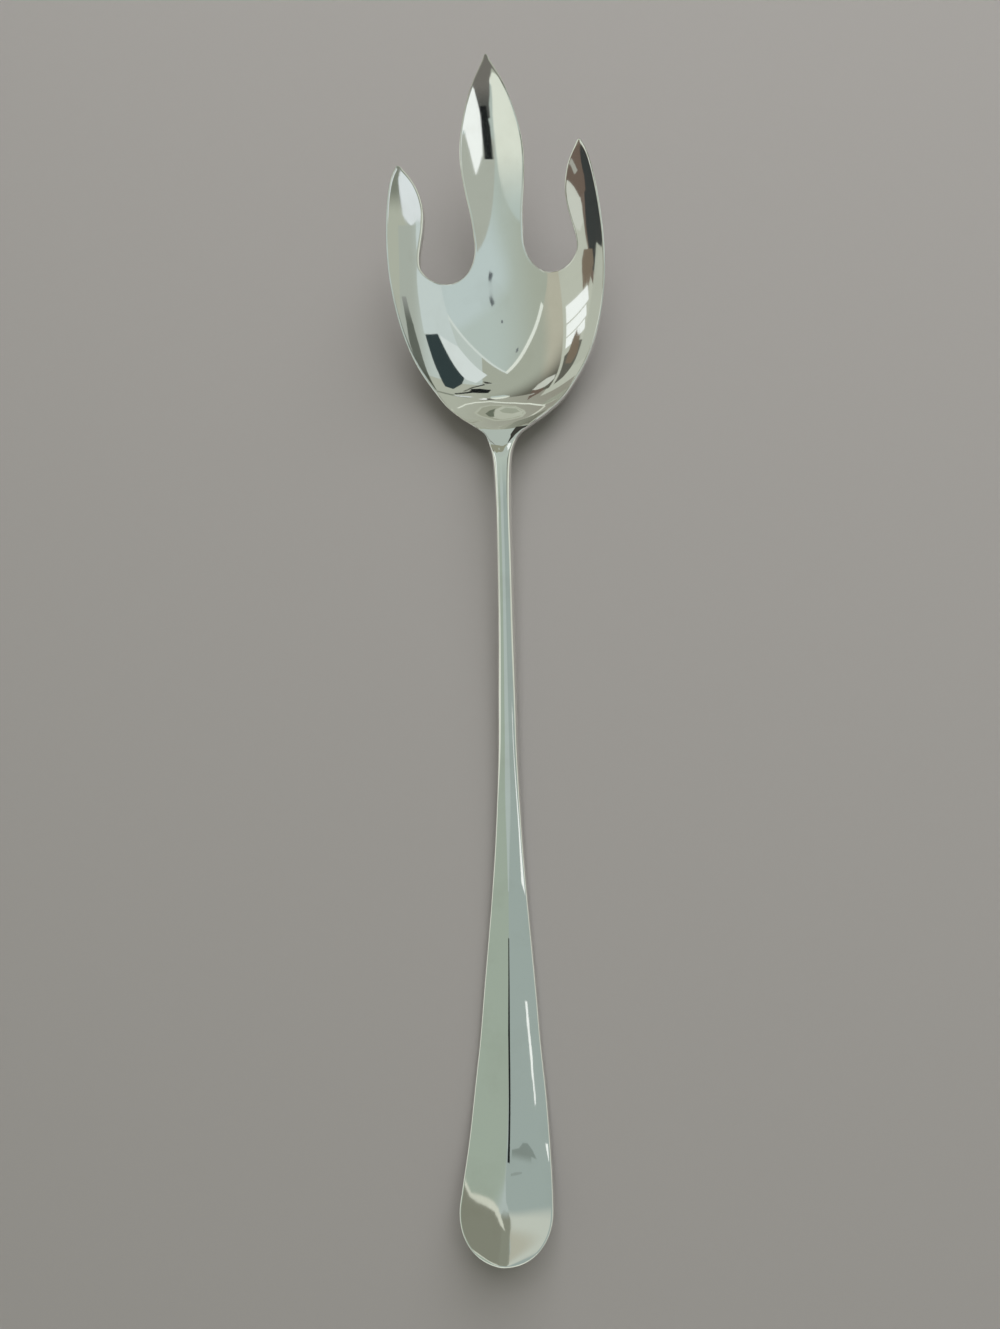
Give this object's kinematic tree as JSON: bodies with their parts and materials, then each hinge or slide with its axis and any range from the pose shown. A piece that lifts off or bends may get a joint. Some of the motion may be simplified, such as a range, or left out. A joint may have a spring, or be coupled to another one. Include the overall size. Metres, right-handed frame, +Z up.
{
  "type": "serving fork",
  "caption": "Polished silver-plated serving fork with a dished bowl pierced into a leaf-shaped centre tine and curved side tines, on a slim ridged handle, for lifting and tossing salad.",
  "frame": {"origin": "middle of the fork's outline box on the table it lies on", "axes": "+Y along the fork towards the tines, +Z up from the table out of the bowl's hollow, +X to the right with the tines pointing away"},
  "size_m": [0.0502, 0.26, 0.0254],
  "materials": {
    "silver_bowl": "mirror-polished silver plate with fine wear",
    "silver_stem": "mirror-polished silver plate with fine wear",
    "silver_tail": "polished silver plate, worn where it stands",
    "solder": "silver solder, buffed flush"
  },
  "bodies": {
    "root": {"bowl": "silver_bowl", "stem": "silver_stem", "rat_tail": "silver_tail", "neck_solder": "solder", "tail_solder": "solder"}
  },
  "joints": []
}
